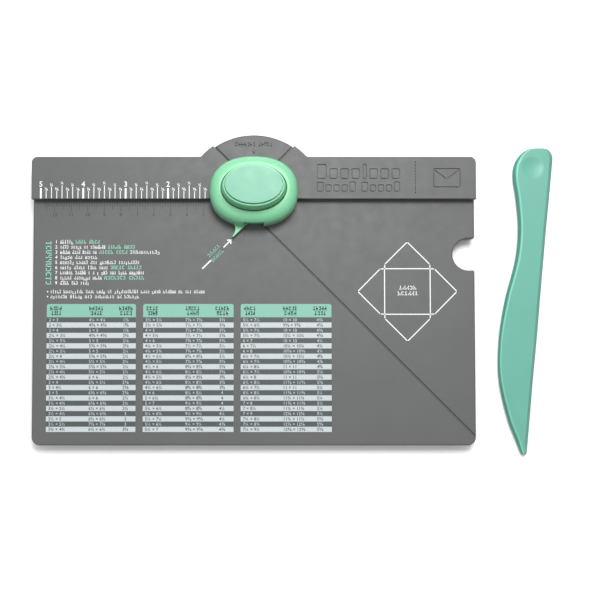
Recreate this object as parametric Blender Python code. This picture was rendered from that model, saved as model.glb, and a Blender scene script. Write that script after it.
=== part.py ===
"""Envelope punch and scoring board, with its loose scoring tool.

A hollow plastic deck carries a raised ruler fence along its back. A press punch sits across
the fence: an oval button pushes two steel blades down through a guide plate, across a paper
slot and into a die plate, and two springs lift it again. The front blade cuts a right-angled
notch in a sheet that is held against the fence, and the rear blade rounds a corner that is
pushed into the V between the fence's two halves.

Everything is modelled in board coordinates and metres: X to the right, Y = 0 on the fence's
front face and growing to the back, Z = 0 on the table, with X = 0 on the punch's centre line.
Parenting to an empty then moves the set, so that the world origin is at its bottom centre.
"""

import math

import bmesh
import bpy
from mathutils import Matrix, Vector

MM = 0.001
GAP = 0.3 * MM  # between pieces that touch

# Board, in plan
HALF_WIDTH = 133.35 * MM
FENCE_DEPTH = 25.5 * MM
FRONT_Y = -147.7 * MM
FRONT_CORNER = 5.0 * MM
BACK_CORNER = 3.5 * MM
DOME_Y = -2.7 * MM
DOME_RADIUS = 42.5 * MM
THUMB_X = 129.7 * MM
THUMB_Y = -32.9 * MM
THUMB_RADIUS = 9.6 * MM

# Board, in height
FOOT_TOP = 1.4 * MM
COVER_BOTTOM = FOOT_TOP + GAP
COVER_TOP = 3.9 * MM
DECK_TOP = 11.0 * MM
DECK_PLATE = 2.5 * MM
DECK_WALL = 2.2 * MM
FENCE_TOP = 16.5 * MM
FENCE_PLATE = 2.0 * MM
FENCE_WALL = 1.8 * MM
GROOVE_WIDTH = 1.3 * MM
GROOVE_DEPTH = 0.8 * MM

# Punch: every oval shares one centre, and its half axes are the button's plus an offset
PUNCH_Y = 5.2 * MM
BUTTON_A = 18.9 * MM
BUTTON_B = 13.2 * MM
BUTTON_TOP = 37.0 * MM
STROKE = 6.0 * MM
APEX = 9.2 * MM  # from the fence's front face forward to the point of the notch
REAR_APEX = 7.6 * MM  # and back to the point of the rear V
PLATE_OFFSET = 2.9 * MM
PLATE_THICKNESS = 1.5 * MM
DIE_BOTTOM = 9.3 * MM
GUIDE_BOTTOM = 12.6 * MM
BLADE_BOTTOM = GUIDE_BOTTOM + 0.4 * MM
PLUNGER_BOTTOM = 27.0 * MM
PLUNGER_THICKNESS = 4.0 * MM
PLUNGER_OFFSET = -4.0 * MM
HOUSING_WIDTH = 7.55 * MM
HOUSING_FORWARD = 1.0 * MM  # how far the housing's outer edge is moved forward
HOUSING_TOP = 27.2 * MM
HOUSING_SHOULDER = 18.0 * MM
HOUSING_WALL = 2.0 * MM
BUTTON_CLEARANCE = 0.4 * MM
INLAY_OFFSET = -2.2 * MM
INLAY_THICKNESS = 0.9 * MM
CHUTE_HALF_WIDTH = 11.5 * MM
CHUTE_FRONT = -10.5 * MM
CHUTE_BACK = 14.5 * MM
SPRING_X = 12.4 * MM
SPRING_RADIUS = 2.9 * MM
SPRING_WIRE = 0.4 * MM
SPRING_TURNS = 6

# Scoring tool, measured along it from its tip
TOOL_LENGTH = 188.6 * MM
TOOL_THICKNESS = 4.6 * MM
TOOL_TIP_Y = -154.7 * MM
TOOL_BEVEL = 2.6 * MM
# Distance from the tip, left edge's X and right edge's X, as they would run without the rounded ends
TOOL_STATIONS = [
    (0.0, 162.6, 165.8),
    (9.4, 159.0, 166.7),
    (21.5, 154.4, 167.9),
    (45.8, 149.2, 170.2),
    (70.2, 149.4, 172.8),
    (94.6, 153.4, 175.1),
    (119.2, 159.9, 177.5),
    (137.7, 161.9, 179.3),
    (156.2, 160.8, 181.3),
    (170.0, 159.0, 182.7),
    (188.6, 159.4, 184.6),
]
TOOL_APEX_X = 175.8 * MM  # the head's furthest point
TOOL_HEAD_LEFT = 18.0 * MM  # length over which the head's left side is rounded
TOOL_HEAD_RIGHT = 9.0 * MM
TOOL_NOSE = 2.2 * MM  # length of the rounded tip

# Fasteners and feet, as (x, y) on the board
COVER_SCREWS = [(x * MM, y * MM) for x in (-100, 100) for y in (-134, 14)]
COVER_SCREWS += [(x * MM, -65 * MM) for x in (-50, 50)]
FENCE_SCREWS = [(x * MM, 12.7 * MM) for x in (-118, -45, 45, 118)]
HOUSING_SCREWS = [(x * MM, 16.5 * MM) for x in (-18.9, 18.9)]
FRAME_SCREWS = [(side * x * MM, y * MM) for side in (-1, 1) for x, y in ((18.6, 2.5), (16.2, 11.6))]
FEET = [(x * MM, y * MM) for x in (-118, 118) for y in (-128, 12)]
FEET += [(x * MM, 5 * MM) for x in (-36, 36)]
FOOT_RADIUS = 6.0 * MM

GREY = (0.21, 0.215, 0.215)
MINT = (0.30, 0.76, 0.56)
MINT_LIGHT = (0.37, 0.79, 0.60)
TEAL = (0.20, 0.54, 0.44)
STEEL = (0.62, 0.63, 0.65)
RUBBER = (0.03, 0.03, 0.03)


def clear_scene():
    for obj in list(bpy.data.objects):
        bpy.data.objects.remove(obj, do_unlink=True)


def make_material(name, colour, roughness, metallic=0.0):
    material = bpy.data.materials.new(name)
    material.use_nodes = True
    shader = material.node_tree.nodes["Principled BSDF"]
    shader.inputs["Base Color"].default_value = (*colour, 1.0)
    shader.inputs["Roughness"].default_value = roughness
    shader.inputs["Metallic"].default_value = metallic
    return material


# Outlines


def arc(x, y, radius, start, end, steps):
    """Points of an arc, its ends included, from one angle to another in degrees."""
    angles = [math.radians(start + (end - start) * i / steps) for i in range(steps + 1)]
    return [(x + radius * math.cos(a), y + radius * math.sin(a)) for a in angles]


def oval(offset, steps=48):
    """The punch's oval, wider than the button by offset on every side."""
    turn = [2 * math.pi * i / steps for i in range(steps)]
    a, b = BUTTON_A + offset, BUTTON_B + offset
    return [(a * math.cos(t), PUNCH_Y + b * math.sin(t)) for t in turn]


def housing_oval(offset, steps=48):
    """The same oval for the housing, which grows fuller and further forward towards its edge."""
    share = max(0.0, offset) / HOUSING_WIDTH
    power = 2 / (2 + 0.3 * share)
    a, b, y = BUTTON_A + offset, BUTTON_B + offset, PUNCH_Y - HOUSING_FORWARD * share
    points = []
    for i in range(steps):
        c, s = math.cos(2 * math.pi * i / steps), math.sin(2 * math.pi * i / steps)
        points.append((a * math.copysign(abs(c) ** power, c), y + b * math.copysign(abs(s) ** power, s)))
    return points


def rectangle(x0, x1, y0, y1):
    return [(x0, y0), (x1, y0), (x1, y1), (x0, y1)]


def board_outline(inset=0.0):
    """The board in plan: a rounded rectangle with a thumb notch on the right and a dome behind."""
    side, front, back = HALF_WIDTH - inset, FRONT_Y + inset, FENCE_DEPTH - inset
    corner, back_corner = FRONT_CORNER - inset, BACK_CORNER - inset
    thumb, dome = THUMB_RADIUS + inset, DOME_RADIUS - inset
    dome_end = math.degrees(math.asin((back - DOME_Y) / dome))
    points = arc(corner - side, front + corner, corner, 180, 270, 6)
    points += arc(side - corner, front + corner, corner, 270, 360, 6)
    points += [(side, THUMB_Y - thumb)]
    points += arc(THUMB_X, THUMB_Y, thumb, 270, 90, 16)
    points += [(side, THUMB_Y + thumb)]
    points += arc(side - back_corner, back - back_corner, back_corner, 0, 90, 5)
    points += arc(0, DOME_Y, dome, dome_end, 180 - dome_end, 24)
    points += arc(back_corner - side, back - back_corner, back_corner, 90, 180, 5)
    return points


def fence_outline(side, gap=0.0):
    """Half of the fence in plan, side 1 for the right and -1 for the left, grown by gap where
    the punch meets it. It leaves room for the punch's plates and for half of the rear V."""
    a = BUTTON_A + PLATE_OFFSET + 0.4 * MM - gap
    b = BUTTON_B + PLATE_OFFSET + 0.4 * MM - gap
    v_start = REAR_APEX + gap * math.sqrt(2)  # the V's edge is y = x + v_start
    eased = 0.3 * MM  # the front face falls back a little from 32 mm out to the punch
    front_angle = math.degrees(math.asin((eased - gap - PUNCH_Y) / b))
    rise = v_start - PUNCH_Y
    qa, qb, qc = 1 / a**2 + 1 / b**2, 2 * rise / b**2, (rise / b) ** 2 - 1
    v_x = (-qb + math.sqrt(qb**2 - 4 * qa * qc)) / (2 * qa)
    v_angle = math.degrees(math.atan2((v_x + rise) / b, v_x / a))
    k = v_start - DOME_Y
    dome_x = (-k + math.sqrt(2 * DOME_RADIUS**2 - k**2)) / 2
    dome_start = math.degrees(math.asin((FENCE_DEPTH - DOME_Y) / DOME_RADIUS))
    dome_end = math.degrees(math.acos(dome_x / DOME_RADIUS))
    angles = [math.radians(v_angle + (front_angle - v_angle) * i / 14) for i in range(15)]
    points = [(HALF_WIDTH, -gap)]
    points += arc(HALF_WIDTH - BACK_CORNER, FENCE_DEPTH - BACK_CORNER, BACK_CORNER, 0, 90, 5)
    points += arc(0, DOME_Y, DOME_RADIUS, dome_start, dome_end, 7)
    points += [(a * math.cos(t), PUNCH_Y + b * math.sin(t)) for t in angles]
    points.append((32 * MM, -gap))
    return [(side * x, y) for x, y in points]


def notch_outline(clearance=0.0):
    """The front blade: a right-angled triangle whose point is one apex from the fence."""
    slant = clearance * math.sqrt(2)
    back = 0.4 * MM + clearance
    half = back + APEX + slant
    return [(0, -APEX - slant), (half, back), (-half, back)]


def corner_outline(clearance=0.0):
    """The rear blade: a block whose back is hollowed by the arc that rounds a paper corner."""
    radius = 5.0 * MM
    centre = REAR_APEX + radius * math.sqrt(2)
    half, front = 4.2 * MM + clearance, 6.0 * MM - clearance
    hollow = arc(0, centre, radius - clearance, 315, 225, 8)
    back = hollow[0][1]
    return [(-half, front), (half, front), (half, back), *hollow, (-half, back)]


def spacer_outline(side):
    """The spacer between the plates: its front continues the fence and its back the rear V."""
    v_inner, v_outer = 5.0 * MM, 9.8 * MM
    points = [
        (20.6 * MM, 0.2 * MM),
        (20.8 * MM, PUNCH_Y),
        (17.5 * MM, 14.2 * MM),
        (v_outer, REAR_APEX + v_outer),
        (v_inner, REAR_APEX + v_inner),
        (v_inner, 1.6 * MM),
        (9.9 * MM, 1.0 * MM),
        (10.4 * MM, 0.2 * MM),
    ]
    return [(side * x, y) for x, y in points]


# Solids


def new_object(name, bm):
    """A mesh object made from bm, with its faces pointing out and its round parts smooth."""
    bmesh.ops.recalc_face_normals(bm, faces=bm.faces)
    mesh = bpy.data.meshes.new(name)
    bm.to_mesh(mesh)
    bm.free()
    obj = bpy.data.objects.new(name, mesh)
    bpy.context.scene.collection.objects.link(obj)
    return obj


def loft(name, rings):
    """A closed solid through rings of equally many points, with a flat face at each end."""
    bm = bmesh.new()
    rows = [[bm.verts.new(p) for p in ring] for ring in rings]
    for low, high in zip(rows, rows[1:]):
        for i in range(len(low)):
            j = (i + 1) % len(low)
            bm.faces.new((low[i], low[j], high[j], high[i]))
    bm.faces.new(rows[0])
    bm.faces.new(rows[-1])
    return new_object(name, bm)


def prism(name, outline, bottom, top):
    return loft(name, [[(x, y, z) for x, y in outline] for z in (bottom, top)])


def cylinder(name, x, y, radius, bottom, top, steps=16):
    return prism(name, arc(x, y, radius, 0, 360 - 360 / steps, steps - 1), bottom, top)


def oval_loft(name, profile, shape=oval):
    """A solid through ovals at (offset, height), from one end to the other."""
    return loft(name, [[(x, y, z) for x, y in shape(offset)] for offset, z in profile])


def apply_modifiers(obj):
    graph = bpy.context.evaluated_depsgraph_get()
    mesh = bpy.data.meshes.new_from_object(obj.evaluated_get(graph))
    obj.modifiers.clear()
    obj.data = mesh


def combine(obj, operation, tools):
    """Cuts the tools from obj or joins them to it, one after the other, and removes them."""
    for tool in tools:
        boolean = obj.modifiers.new(operation.lower(), "BOOLEAN")
        boolean.operation = operation
        boolean.solver = "EXACT"
        boolean.object = tool
    apply_modifiers(obj)
    for tool in tools:
        bpy.data.objects.remove(tool, do_unlink=True)


def cut(obj, *tools):
    combine(obj, "DIFFERENCE", tools)


def join(obj, *tools):
    combine(obj, "UNION", tools)


def holes(places, radius, bottom, top):
    return [cylinder("hole", x, y, radius, bottom, top) for x, y in places]


def bosses(places, radius, bottom, top):
    return [cylinder("boss", x, y, radius, bottom, top) for x, y in places]


# Deck, cover and fence


def deck():
    """The board's top shell: a plate with a skirt, screw bosses, the score groove and the
    opening that the punch's die plate lies in."""
    ceiling = DECK_TOP - DECK_PLATE
    below = COVER_BOTTOM - 1 * MM
    above = DECK_TOP + 1 * MM
    obj = prism("deck", board_outline(), COVER_BOTTOM, DECK_TOP)
    cut(obj, prism("cavity", board_outline(DECK_WALL), below, ceiling))
    boss_bottom = COVER_TOP + GAP
    join(obj, *bosses(COVER_SCREWS, 3.2 * MM, boss_bottom, ceiling + 1 * MM))
    cut(obj, *holes(COVER_SCREWS, 1.25 * MM, below, ceiling - 0.5 * MM))
    cut(obj, *holes(FENCE_SCREWS, 1.4 * MM, below, above))
    cut(obj, *holes(HOUSING_SCREWS, 1.0 * MM, below, above))
    cut(obj, prism("opening", oval(PLATE_OFFSET + GAP), below, above))
    cut(obj, groove())
    return obj


def groove():
    """A channel at 45 degrees from the front V's point to the board's right edge."""
    start, end = 5.5 * MM, HALF_WIDTH + 3 * MM
    half = GROOVE_WIDTH / math.sqrt(2)
    outline = [
        (start, -APEX - start - half),
        (end, -APEX - end - half),
        (end, -APEX - end + half),
        (start, -APEX - start + half),
    ]
    return prism("groove", outline, DECK_TOP - GROOVE_DEPTH, DECK_TOP + 1 * MM)


def bottom_cover():
    """The plate that closes the deck from below, with the opening that paper chips fall out of."""
    below, above = COVER_BOTTOM - 1 * MM, COVER_TOP + 1 * MM
    chute = rectangle(-CHUTE_HALF_WIDTH, CHUTE_HALF_WIDTH, CHUTE_FRONT, CHUTE_BACK)
    obj = prism("bottom_cover", board_outline(DECK_WALL + GAP), COVER_BOTTOM, COVER_TOP)
    cut(obj, prism("chute", chute, below, above))
    cut(obj, *holes(COVER_SCREWS, 1.5 * MM, below, above))
    cut(obj, *holes(COVER_SCREWS, 2.9 * MM, below, COVER_BOTTOM + 1.3 * MM))
    return obj


def fence(name, side):
    """Half of the raised fence: a shell on the deck, with two screw bosses."""
    bottom = DECK_TOP + GAP
    below = bottom - 1 * MM
    obj = prism(name, fence_outline(side), bottom, FENCE_TOP)
    inner, outer = sorted((side * 36 * MM, side * (HALF_WIDTH - FENCE_WALL)))
    hollow = rectangle(inner, outer, FENCE_WALL, FENCE_DEPTH - FENCE_WALL)
    cut(obj, prism("hollow", hollow, below, FENCE_TOP - FENCE_PLATE))
    screws = [(x, y) for x, y in FENCE_SCREWS if x * side > 0]
    housing_screw = [(x, y) for x, y in HOUSING_SCREWS if x * side > 0]
    join(obj, *bosses(screws, 3.0 * MM, bottom, FENCE_TOP - 1 * MM))
    cut(obj, *holes(screws, 1.25 * MM, below, FENCE_TOP - FENCE_PLATE))
    cut(obj, *holes(housing_screw, 1.0 * MM, below, FENCE_TOP + 1 * MM))
    return obj


def foot(name, x, y):
    profile = [(0.85 * FOOT_RADIUS, 0.0), (FOOT_RADIUS, 0.4 * MM), (FOOT_RADIUS, FOOT_TOP)]
    return loft(name, [[(*point, z) for point in arc(x, y, radius, 0, 345, 23)] for radius, z in profile])


# Punch


def plate(name, bottom):
    """A steel plate with both blades' openings and the frame screws' holes."""
    below, above = bottom - 1 * MM, bottom + PLATE_THICKNESS + 1 * MM
    obj = prism(name, oval(PLATE_OFFSET), bottom, bottom + PLATE_THICKNESS)
    cut(obj, prism("notch", notch_outline(GAP), below, above))
    cut(obj, prism("corner", corner_outline(GAP), below, above))
    cut(obj, *holes(FRAME_SCREWS, 1.5 * MM, below, above))
    return obj


def spacer(name, side):
    bottom, top = DIE_BOTTOM + PLATE_THICKNESS + GAP, GUIDE_BOTTOM - GAP
    obj = prism(name, spacer_outline(side), bottom, top)
    screws_here = [(x, y) for x, y in FRAME_SCREWS if x * side > 0]
    cut(obj, *holes(screws_here, 1.5 * MM, bottom - 1 * MM, top + 1 * MM))
    return obj


def punch_bed():
    """The block that carries the die plate down to the cover, open in the middle for the chips."""
    bottom, top = COVER_TOP + GAP, DIE_BOTTOM - GAP
    obj = prism("punch_bed", oval(PLATE_OFFSET), bottom, top)
    # The chute also opens the oval's thin front edge, so the bed is a U in plan
    chute = rectangle(-CHUTE_HALF_WIDTH, CHUTE_HALF_WIDTH, -20 * MM, CHUTE_BACK)
    cut(obj, prism("chute", chute, bottom - 1 * MM, top + 1 * MM))
    cut(obj, *holes(FRAME_SCREWS, 1.5 * MM, 5.5 * MM, top + 1 * MM))
    return obj


def housing_profile():
    """The housing's outer section from its foot to its top, as (offset, height)."""
    width, height = HOUSING_WIDTH - 0.6 * MM, HOUSING_TOP - HOUSING_SHOULDER
    power = 2 / 2.3
    profile = [(HOUSING_WIDTH, GUIDE_BOTTOM)]
    for i in range(9):
        t = math.radians(90 - 90 * i / 8)
        x = 0.6 * MM + width * max(math.sin(t), 0) ** power
        z = HOUSING_SHOULDER + height * max(math.cos(t), 0) ** power
        profile.append((x, z))
    return profile


def punch_housing():
    """The oval ring around the button. It rests on the fence and hangs clear of the deck, so
    that paper slides under it, and its pointer marks the left score line."""
    obj = oval_loft("punch_housing", housing_profile(), housing_oval)
    wall = HOUSING_WIDTH - HOUSING_WALL
    inside = [
        (wall, GUIDE_BOTTOM - 1 * MM),
        (wall, HOUSING_SHOULDER),
        (wall - 0.5 * MM, 21.5 * MM),
        (wall - 1.6 * MM, 24.0 * MM),
        (1.6 * MM, 25.0 * MM),
        (BUTTON_CLEARANCE, 25.1 * MM),
        (BUTTON_CLEARANCE, HOUSING_TOP + 1 * MM),
    ]
    cavity = oval_loft("cavity", inside, housing_oval)
    boss_bottom = FENCE_TOP + GAP
    cut(cavity, *bosses(HOUSING_SCREWS, 2.2 * MM, boss_bottom, 20.5 * MM))
    cut(obj, cavity)
    cut(obj, *[prism("fence", fence_outline(side, GAP), 0, boss_bottom) for side in (-1, 1)])
    cut(obj, *holes(HOUSING_SCREWS, 0.95 * MM, boss_bottom - 1 * MM, 19.5 * MM))
    cut(obj, prism("window", rectangle(-3 * MM, 6 * MM, -30 * MM, -14.7 * MM), 10 * MM, 20 * MM))
    join(obj, prism("pointer", pointer_outline(), GUIDE_BOTTOM, 15.2 * MM))
    return obj


def pointer_outline():
    """The score pointer: its right edge runs at 45 degrees and its left edge is hollowed."""
    points = [
        (-12.8, -22.8),
        (-12.0, -22.8),
        (-3.0, -14.0),
        (-3.2, -12.6),
        (-12.0, -11.8),
        (-12.4, -14.2),
        (-11.5, -15.8),
        (-11.1, -17.6),
        (-11.6, -19.6),
        (-13.2, -22.2),
    ]
    return [(x * MM, y * MM) for x, y in points]


def button_cap():
    """The button: a deep oval cap with a flange that catches under the housing, a recess for
    the inlay on top and a boss for the plunger's screw inside."""
    shoulder, recess = 2.8 * MM, BUTTON_TOP - INLAY_THICKNESS - GAP
    profile = [
        (-2.6 * MM, 33.0 * MM),
        (-1.8 * MM, 32.2 * MM),
        (-1.8 * MM, 22.7 * MM),
        (1.0 * MM, 22.7 * MM),
        (1.0 * MM, 24.5 * MM),
        (0.0, 24.7 * MM),
    ]
    for i in range(7):
        t = math.radians(90 * i / 6)
        inward = 2.3 * MM * (1 - math.cos(t))
        profile.append((-inward, BUTTON_TOP - shoulder * (1 - math.sin(t))))
    profile += [(INLAY_OFFSET + 0.05 * MM, recess)]
    obj = oval_loft("button_cap", profile)
    boss_bottom = PLUNGER_BOTTOM + PLUNGER_THICKNESS + GAP
    join(obj, cylinder("boss", 0, PUNCH_Y, 4.5 * MM, boss_bottom, 34.0 * MM, 24))
    centre = [(0, PUNCH_Y)]
    cut(obj, *holes(centre, 1.6 * MM, boss_bottom - 1 * MM, recess + 1 * MM))
    cut(obj, *holes(centre, 3.2 * MM, recess - 1.5 * MM, recess + 1 * MM))
    return obj


def button_inlay():
    edge = INLAY_OFFSET - 0.25 * MM
    profile = [(edge, BUTTON_TOP - INLAY_THICKNESS), (edge, BUTTON_TOP - 0.2 * MM)]
    profile += [(edge - 0.2 * MM, BUTTON_TOP)]
    return oval_loft("button_inlay", profile)


def plunger():
    """The plate that the blades hang from, with a spigot in each spring."""
    obj = prism("plunger", oval(PLUNGER_OFFSET, 32), PLUNGER_BOTTOM, PLUNGER_BOTTOM + PLUNGER_THICKNESS)
    spigots = [(-SPRING_X, PUNCH_Y), (SPRING_X, PUNCH_Y)]
    join(obj, *bosses(spigots, 1.9 * MM, PLUNGER_BOTTOM - 2.5 * MM, PLUNGER_BOTTOM + 1 * MM))
    top = PLUNGER_BOTTOM + PLUNGER_THICKNESS
    cut(obj, *holes([(0, PUNCH_Y)], 1.5 * MM, PLUNGER_BOTTOM + 0.7 * MM, top + 1 * MM))
    return obj


def notch_blade():
    """The front blade. Its shank is narrower, to pass inside the button's wall."""
    shank_bottom = 20.5 * MM
    obj = prism("notch_blade", notch_outline(), BLADE_BOTTOM, shank_bottom)
    shank = rectangle(-6 * MM, 6 * MM, -2.6 * MM, 0.2 * MM)
    join(obj, prism("shank", shank, shank_bottom - 1 * MM, PLUNGER_BOTTOM - GAP))
    return obj


def corner_blade():
    return prism("corner_blade", corner_outline(), BLADE_BOTTOM, PLUNGER_BOTTOM - GAP)


def return_spring(name, x):
    """A compression spring between the guide plate and the plunger, its wire six-sided."""
    bottom = GUIDE_BOTTOM + PLATE_THICKNESS + GAP + SPRING_WIRE
    top = PLUNGER_BOTTOM - GAP - SPRING_WIRE
    steps, sides = 12 * SPRING_TURNS, 6
    pitch = (top - bottom) / steps
    slope = math.atan2(pitch, 2 * math.pi * SPRING_RADIUS / 12)
    rings = []
    for i in range(steps + 1):
        turn = 2 * math.pi * i / 12
        outward = Vector((math.cos(turn), math.sin(turn), 0))
        along = Vector((-math.sin(turn) * math.cos(slope), math.cos(turn) * math.cos(slope), math.sin(slope)))
        upward = outward.cross(along)
        centre = Vector((x, PUNCH_Y, bottom + pitch * i)) + outward * SPRING_RADIUS
        section = [2 * math.pi * k / sides for k in range(sides)]
        rings.append([centre + SPRING_WIRE * (math.cos(s) * outward + math.sin(s) * upward) for s in section])
    return loft(name, rings)


# Fasteners


def screw_mesh(length, head_radius, head_height, radius):
    """A screw with a cross recess. Its head stands on Z = 0 and its shank points down."""
    profile = [
        (radius * 0.6, -length),
        (radius, -length + radius),
        (radius, 0),
        (head_radius, 0),
        (head_radius, head_height * 0.6),
        (head_radius * 0.75, head_height),
    ]
    rings = [[(x, y, z) for x, y in arc(0, 0, r, 0, 330, 11)] for r, z in profile]
    obj = loft("screw", rings)
    long, short = head_radius * 0.55, head_radius * 0.15
    depth = head_height * 0.5
    cross = prism("cross", rectangle(-long, long, -short, short), depth, head_height + 1 * MM)
    join(cross, prism("bar", rectangle(-short, short, -long, long), depth, head_height + 1 * MM))
    cut(obj, cross)
    mesh = obj.data
    bpy.data.objects.remove(obj, do_unlink=True)
    return mesh


def screws(name, places, mesh, seat, head_down=False):
    """One screw object for each place, all sharing a mesh. seat is the height under the head."""
    made = []
    for i, (x, y) in enumerate(places):
        label = f"{name}_{i + 1}" if len(places) > 1 else name
        obj = bpy.data.objects.new(label, mesh)
        bpy.context.scene.collection.objects.link(obj)
        obj.location = (x, y, seat)
        obj.rotation_euler = (math.pi if head_down else 0, 0, 0)
        made.append(obj)
    return made


def all_screws():
    """Every fixed screw, and the one that holds the button."""
    plate_top = GUIDE_BOTTOM + PLATE_THICKNESS + GAP
    ceiling = DECK_TOP - DECK_PLATE - GAP
    recess = BUTTON_TOP - INLAY_THICKNESS - GAP - 1.5 * MM
    frame = screw_mesh(plate_top - 6 * MM, 1.9 * MM, 1.3 * MM, 1.2 * MM)
    fence_fixing = screw_mesh(13.6 * MM - ceiling, 2.2 * MM, 1.3 * MM, 1.0 * MM)
    housing_fixing = screw_mesh(19.0 * MM - ceiling, 1.6 * MM, 1.3 * MM, 0.8 * MM)
    cover_fixing = screw_mesh(4.2 * MM, 2.3 * MM, 0.9 * MM, 1.0 * MM)
    button_fixing = screw_mesh(6.4 * MM, 2.8 * MM, 1.1 * MM, 1.2 * MM)
    fixed = screws("frame_screw", FRAME_SCREWS, frame, plate_top)
    fixed += screws("fence_screw", FENCE_SCREWS, fence_fixing, ceiling, head_down=True)
    fixed += screws("housing_screw", HOUSING_SCREWS, housing_fixing, ceiling, head_down=True)
    fixed += screws("cover_screw", COVER_SCREWS, cover_fixing, COVER_BOTTOM + 1.0 * MM, head_down=True)
    return fixed, screws("button_screw", [(0, PUNCH_Y)], button_fixing, recess + GAP)


# Scoring tool


def smooth(stations, distance):
    """The left and right edges' X at a distance, on smooth curves through stations."""
    last = len(stations) - 2
    i = max(k for k in range(last + 1) if k == 0 or stations[k][0] * MM <= distance)
    before, after = stations[max(i - 1, 0)], stations[min(i + 2, last + 1)]
    low, high = stations[i], stations[i + 1]
    span = high[0] - low[0]
    t = (distance / MM - low[0]) / span
    values = []
    for c in (1, 2):
        start = (high[c] - before[c]) / (high[0] - before[0]) * span
        end = (after[c] - low[c]) / (after[0] - low[0]) * span
        h0, h1 = 2 * t**3 - 3 * t**2 + 1, t**3 - 2 * t**2 + t
        h2, h3 = 3 * t**2 - 2 * t**3, t**3 - t**2
        values.append((h0 * low[c] + h1 * start + h2 * high[c] + h3 * end) * MM)
    return values


def tool_edges(distance):
    """The edges' X with the head and the tip rounded: each side closes in on the head's apex."""
    left, right = smooth(TOOL_STATIONS, distance)
    past_nose = max(0.0, TOOL_NOSE - distance) / TOOL_NOSE
    middle, nose = (left + right) / 2, math.sqrt(max(0.0, 1 - past_nose**2))
    edges = []
    for x, head in ((left, TOOL_HEAD_LEFT), (right, TOOL_HEAD_RIGHT)):
        past_head = max(0.0, distance - (TOOL_LENGTH - head)) / head
        if past_head > 0:
            x = TOOL_APEX_X + (x - TOOL_APEX_X) * max(0.0, 1 - past_head**2.4) ** (1 / 2.2)
        edges.append(middle + (x - middle) * nose)
    return edges


def scoring_tool():
    """A curved folding and scoring tool: flat above and below, with bevelled edges, a rounded
    head and a narrow tip."""
    steps = 44
    ends = 0.004
    rings = []
    for i in range(steps + 1):
        share = ends + (1 - 2 * ends) * (1 - math.cos(math.pi * i / steps)) / 2
        distance = share * TOOL_LENGTH
        left, right = tool_edges(distance)
        bevel = min(TOOL_BEVEL, 0.3 * (right - left))
        y = TOOL_TIP_Y + distance
        low, middle, high = 0.0, TOOL_THICKNESS / 2, TOOL_THICKNESS
        rings.append(
            [
                (left + bevel, y, low),
                (right - bevel, y, low),
                (right, y, middle - 0.4 * MM),
                (right, y, middle + 0.4 * MM),
                (right - bevel, y, high),
                (left + bevel, y, high),
                (left, y, middle + 0.4 * MM),
                (left, y, middle - 0.4 * MM),
            ]
        )
    return loft("scoring_tool", rings)


# Assembly


def empty(name, x, y, parent=None):
    obj = bpy.data.objects.new(name, None)
    bpy.context.scene.collection.objects.link(obj)
    obj.location = (x, y, 0)
    obj.parent = parent
    return obj


def finish(objects, parent, pivot, material):
    """Colours the objects and parents them, keeping each where it was modelled on the board."""
    for obj in objects:
        obj.data.materials.clear()
        obj.data.materials.append(material)
        obj.data.shade_smooth()
        obj.data.set_sharp_from_angle(angle=math.radians(30))
        obj.parent = parent
        obj.location = obj.location - Vector((*pivot, 0))


def punch_parts(mint, mint_light, grey, steel):
    """The moving pieces, each with its material and its origin on the stroke's axis."""
    pieces = [
        (button_cap(), mint),
        (button_inlay(), mint_light),
        (plunger(), grey),
        (notch_blade(), steel),
        (corner_blade(), steel),
    ]
    for obj, _ in pieces:
        move_origin(obj, 0, PUNCH_Y)
    return pieces


def move_origin(obj, x, y):
    obj.data.transform(Matrix.Translation((-x, -y, 0)))
    obj.location = (x, y, 0)


def main():
    clear_scene()
    grey = make_material("grey_plastic", GREY, 0.55)
    mint = make_material("mint_plastic", MINT, 0.35)
    mint_light = make_material("mint_inlay", MINT_LIGHT, 0.4)
    teal = make_material("tool_plastic", TEAL, 0.4)
    steel = make_material("steel", STEEL, 0.3, 1.0)
    rubber = make_material("rubber", RUBBER, 0.8)

    tool = scoring_tool()
    tool_right = max(v.co.x for v in tool.data.vertices)
    tool_front = min(v.co.y for v in tool.data.vertices)
    middle_x = (tool_right - HALF_WIDTH) / 2
    middle_y = (DOME_Y + DOME_RADIUS + tool_front) / 2
    board = empty("board", -middle_x, -middle_y)
    stroke = empty("punch_stroke", 0, PUNCH_Y, board)
    tool_at = (sum(tool_edges(TOOL_LENGTH / 2)) / 2, TOOL_TIP_Y + TOOL_LENGTH / 2)
    tool_place = empty("tool_place", *tool_at, board)

    origin, stroke_at = (0, 0), (0, PUNCH_Y)
    shells = [deck(), bottom_cover(), fence("fence_left", -1), fence("fence_right", 1), punch_bed()]
    frame = [plate("die_plate", DIE_BOTTOM), plate("guide_plate", GUIDE_BOTTOM)]
    frame += [spacer("spacer_left", -1), spacer("spacer_right", 1)]
    frame += [return_spring("return_spring_left", -SPRING_X), return_spring("return_spring_right", SPRING_X)]
    feet = [foot(f"foot_{i + 1}", x, y) for i, (x, y) in enumerate(FEET)]
    fixed_screws, button_screws = all_screws()
    finish(shells, board, origin, grey)
    finish(frame + fixed_screws, board, origin, steel)
    finish(feet, board, origin, rubber)
    finish([punch_housing()], board, origin, mint)
    for obj, material in punch_parts(mint, mint_light, grey, steel):
        finish([obj], stroke, stroke_at, material)
    finish(button_screws, stroke, stroke_at, steel)
    move_origin(tool, *tool_at)
    finish([tool], tool_place, tool_at, teal)


main()
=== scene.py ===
"""The looks of the envelope punch and scoring board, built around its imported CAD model.

Lengths are in millimetres in board coordinates: X from the punch's centre line, Y from the
fence's front face, Z from the table. The last step of every piece turns them into metres in
the row frame.
"""

import math
import random

import bmesh
import bpy
from mathutils import Matrix, Vector


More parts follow.
